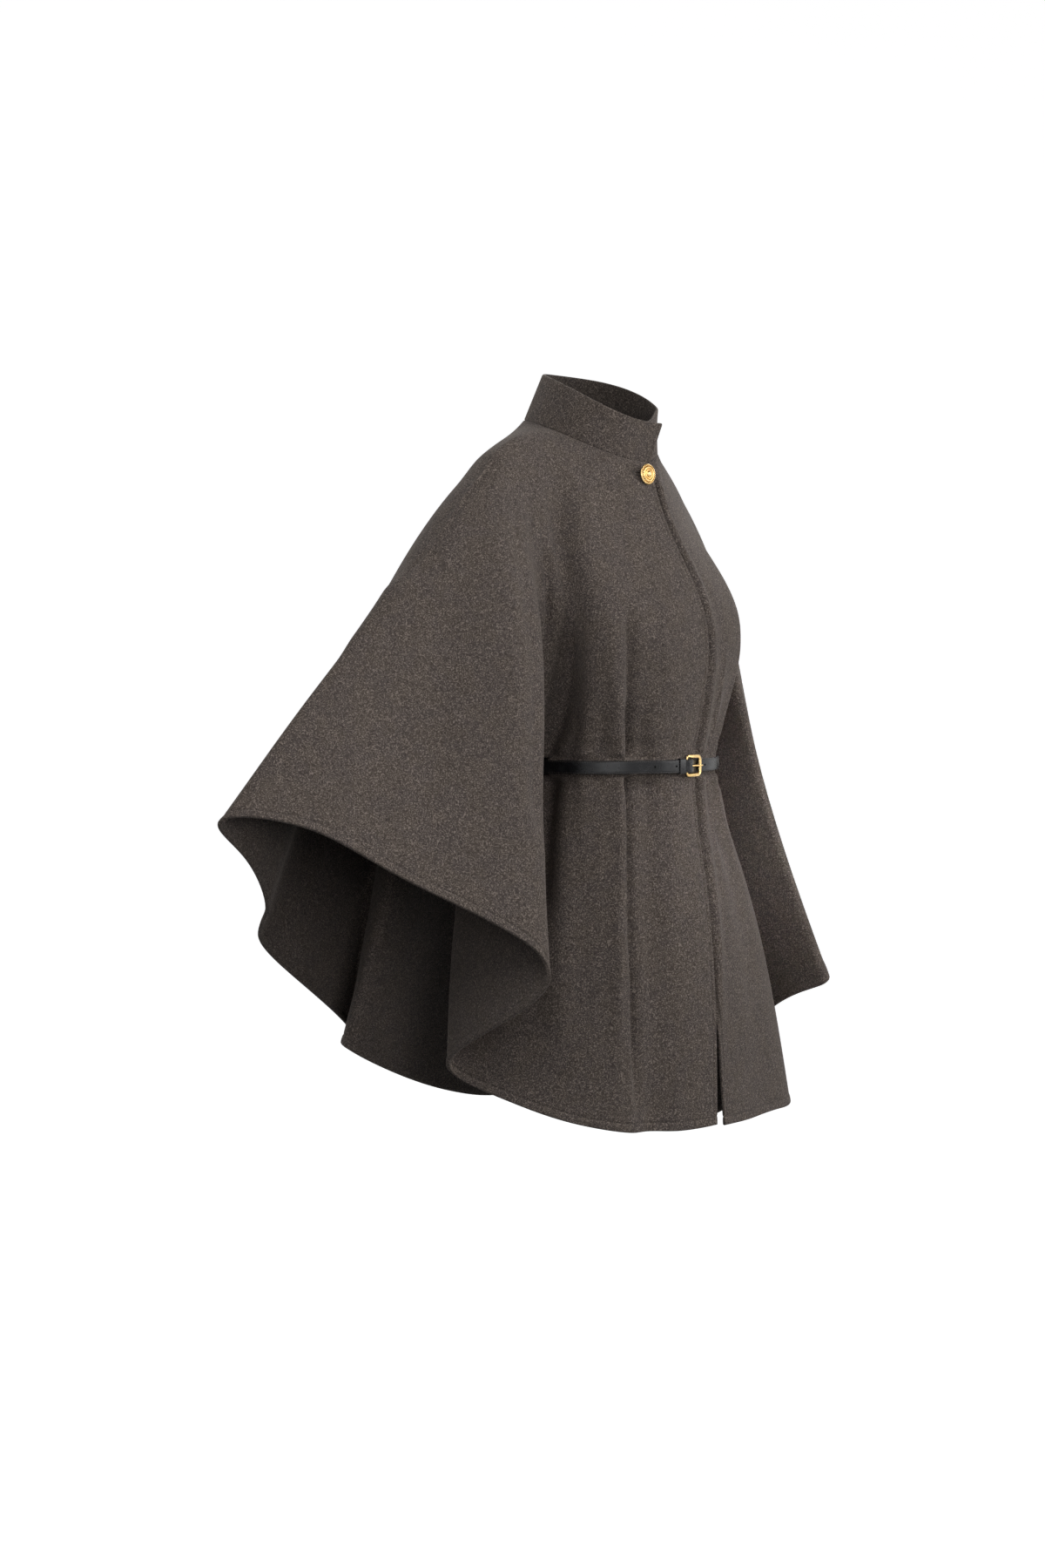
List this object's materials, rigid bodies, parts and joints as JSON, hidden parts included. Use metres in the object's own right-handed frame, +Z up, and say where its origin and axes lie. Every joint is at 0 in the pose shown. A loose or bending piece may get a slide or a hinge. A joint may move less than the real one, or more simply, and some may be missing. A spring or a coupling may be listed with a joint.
{
  "type": "belted cape",
  "caption": "Hollow belted wool cape with a stand collar, wide cape sleeves open below, a neck button and a slim buckled leather belt that runs through the fronts.",
  "frame": {"origin": "middle of the neck opening, inside the stand collar, where the wearer's neck carries the cape", "axes": "+Z up out of the neck, -Y the way the wearer faces, +X the wearer's left"},
  "size_m": [0.9792, 0.3745, 0.9105],
  "materials": {
    "wool": "brushed melange",
    "leather": "smooth",
    "brass": "polished"
  },
  "bodies": {
    "root": {"front_right": "wool", "front_left": "wool", "back": "wool", "collar": "wool", "button": "brass", "belt": "leather", "belt_keeper": "leather", "buckle_frame": "brass", "buckle_prong": "brass"}
  },
  "joints": []
}
